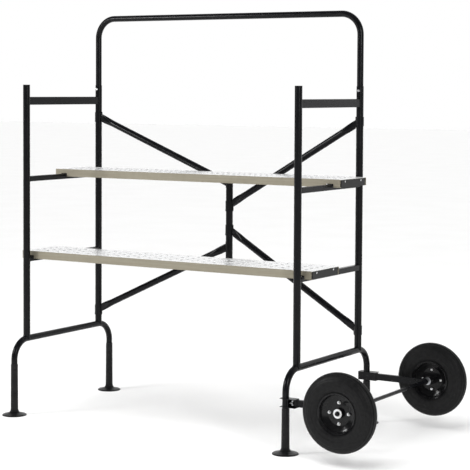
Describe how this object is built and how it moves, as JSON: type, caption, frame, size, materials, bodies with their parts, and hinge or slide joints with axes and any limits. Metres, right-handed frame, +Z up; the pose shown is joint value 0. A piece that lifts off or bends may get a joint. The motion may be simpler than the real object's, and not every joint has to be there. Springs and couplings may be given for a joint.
{
  "type": "baker scaffold",
  "caption": "Folding baker scaffold: two ladder end frames, hinged rear brace, two aluminium decks, plug-in guard rail hoop, round feet and clamp-on transport wheels.",
  "frame": {"origin": "on the floor, at the centre of the outline seen from above", "axes": "+X along the decks towards the wheels, +Y towards the guard rail at the back, +Z up"},
  "size_m": [2.3769, 1.175, 2.2675],
  "materials": {
    "frame_black": "satin black powder coat",
    "deck_side": "mill-finish extruded aluminium, warm grey",
    "deck_top": "bright raised-pattern aluminium sheet",
    "hook_black": "satin black paint on steel plate",
    "zinc": "bright zinc plate",
    "rim_black": "gloss black enamel",
    "tyre": "black rubber",
    "foot_black": "satin black paint on pressed steel",
    "plug_black": "black plastic",
    "bearing_steel": "ground bearing steel"
  },
  "bodies": {
    "left_frame": {"left_front_upright": "frame_black", "left_rear_upright": "frame_black", "left_leg_tube": "frame_black", "left_top_rung": "frame_black", "left_deck_rungs": "frame_black", "left_hinge_collars": "frame_black"},
    "right_frame": {"right_front_upright": "frame_black", "right_rear_upright": "frame_black", "right_leg_tube": "frame_black", "right_top_rung": "frame_black", "right_deck_rungs": "frame_black", "axle": "frame_black", "front_wheel_arm": "frame_black", "rear_wheel_arm": "frame_black", "front_bracket": "frame_black", "rear_bracket": "frame_black", "axle_washers": "zinc", "axle_circlips": "plug_black"},
    "left_wing": {"centre_post": "frame_black", "upper_left_arm": "frame_black", "lower_left_arm": "frame_black", "left_wing_sleeves": "frame_black", "post_collars": "frame_black", "post_caps": "plug_black"},
    "right_wing": {"upper_right_arm": "frame_black", "lower_right_arm": "frame_black", "right_wing_sleeves": "frame_black"},
    "upper_deck": {"upper_deck_front_rail": "deck_side", "upper_deck_rear_rail": "deck_side", "upper_deck_cross_members": "deck_side", "upper_deck_tread": "deck_top", "upper_deck_hooks": "hook_black", "upper_deck_rivets": "zinc"},
    "lower_deck": {"lower_deck_front_rail": "deck_side", "lower_deck_rear_rail": "deck_side", "lower_deck_cross_members": "deck_side", "lower_deck_tread": "deck_top", "lower_deck_hooks": "hook_black", "lower_deck_rivets": "zinc"},
    "guard_rail_hoop": {"guard_rail": "frame_black"},
    "left_rail_clamp": {"left_rail_screw": "zinc"},
    "right_rail_clamp": {"right_rail_screw": "zinc"},
    "front_clamp": {"front_wing_screw": "zinc"},
    "rear_clamp": {"rear_wing_screw": "zinc"},
    "front_wheel": {"front_tyre": "tyre", "front_rim_halves": "rim_black", "front_hub": "rim_black", "front_bearings": "bearing_steel", "front_rim_bolts": "zinc", "front_valve": "plug_black"},
    "rear_wheel": {"rear_tyre": "tyre", "rear_rim_halves": "rim_black", "rear_hub": "rim_black", "rear_bearings": "bearing_steel", "rear_rim_bolts": "zinc", "rear_valve": "plug_black"},
    "left_front_foot_piece": {"left_front_foot": "foot_black"},
    "left_rear_foot_piece": {"left_rear_foot": "foot_black"},
    "right_front_foot_piece": {"right_front_foot": "foot_black"},
    "right_rear_foot_piece": {"right_rear_foot": "foot_black"}
  },
  "joints": [
    {"name": "fold", "type": "hinge", "parent": "left_frame", "child": "left_wing", "pos_m": [-1.1205, 0.34, 1], "axis": [0, 0, 1], "range_deg": [0, 80]},
    {"name": "centre_fold", "type": "hinge", "parent": "left_wing", "child": "right_wing", "pos_m": [-0.1945, 0.34, 1], "axis": [0, 0, 1], "range_deg": [-169.63, 0]},
    {"name": "right_fold", "type": "hinge", "parent": "right_wing", "child": "right_frame", "pos_m": [0.6345, 0.34, 1], "axis": [0, 0, 1], "range_deg": [0, 89.55]},
    {"name": "upper_deck_lift", "type": "slide", "parent": "left_frame", "child": "upper_deck", "axis": [0, 0, 1], "range_m": [0, 0.32]},
    {"name": "lower_deck_lift", "type": "slide", "parent": "left_frame", "child": "lower_deck", "axis": [0, 0.2142, 0.9768], "range_m": [0, 0.3275]},
    {"name": "guard_rail_lift", "type": "slide", "parent": "left_frame", "child": "guard_rail_hoop", "axis": [0, 0, 1], "range_m": [0, 0.9803]},
    {"name": "left_rail_screw_turn", "type": "hinge", "parent": "left_frame", "child": "left_rail_clamp", "pos_m": [-1.1205, 0.32, 1.832], "axis": [0, -1, 0], "range_deg": [0, 300]},
    {"name": "right_rail_screw_turn", "type": "hinge", "parent": "right_frame", "child": "right_rail_clamp", "pos_m": [0.6345, 0.32, 1.832], "axis": [0, -1, 0], "range_deg": [0, 300]},
    {"name": "front_wing_screw_turn", "type": "hinge", "parent": "right_frame", "child": "front_clamp", "pos_m": [0.6645, -0.45, 0.263], "axis": [1, 0, 0], "range_deg": [0, 300]},
    {"name": "rear_wing_screw_turn", "type": "hinge", "parent": "right_frame", "child": "rear_clamp", "pos_m": [0.6645, 0.45, 0.263], "axis": [1, 0, 0], "range_deg": [0, 300]},
    {"name": "front_wheel_spin", "type": "hinge", "parent": "right_frame", "child": "front_wheel", "pos_m": [0.9885, -0.54, 0.263], "axis": [0, 1, 0], "continuous": true},
    {"name": "rear_wheel_spin", "type": "hinge", "parent": "right_frame", "child": "rear_wheel", "pos_m": [0.9885, 0.54, 0.263], "axis": [0, 1, 0], "continuous": true},
    {"name": "left_front_foot_slide", "type": "slide", "parent": "left_frame", "child": "left_front_foot_piece", "axis": [0, 0, -1], "range_m": [0, 0.15]},
    {"name": "left_rear_foot_slide", "type": "slide", "parent": "left_frame", "child": "left_rear_foot_piece", "axis": [0, 0, -1], "range_m": [0, 0.15]},
    {"name": "right_front_foot_slide", "type": "slide", "parent": "right_frame", "child": "right_front_foot_piece", "axis": [0, 0, -1], "range_m": [0, 0.12]},
    {"name": "right_rear_foot_slide", "type": "slide", "parent": "right_frame", "child": "right_rear_foot_piece", "axis": [0, 0, -1], "range_m": [0, 0.12]}
  ],
  "couplings": [
    {"joint": "centre_fold", "follows": "fold", "ratio": -2.117},
    {"joint": "right_fold", "follows": "fold", "ratio": 1.117},
    {"joint": "upper_deck_lift", "follows": "fold", "m_per_rad": 0.228},
    {"joint": "lower_deck_lift", "follows": "fold", "m_per_rad": 0.2334},
    {"joint": "guard_rail_lift", "follows": "fold", "m_per_rad": 0.7}
  ]
}
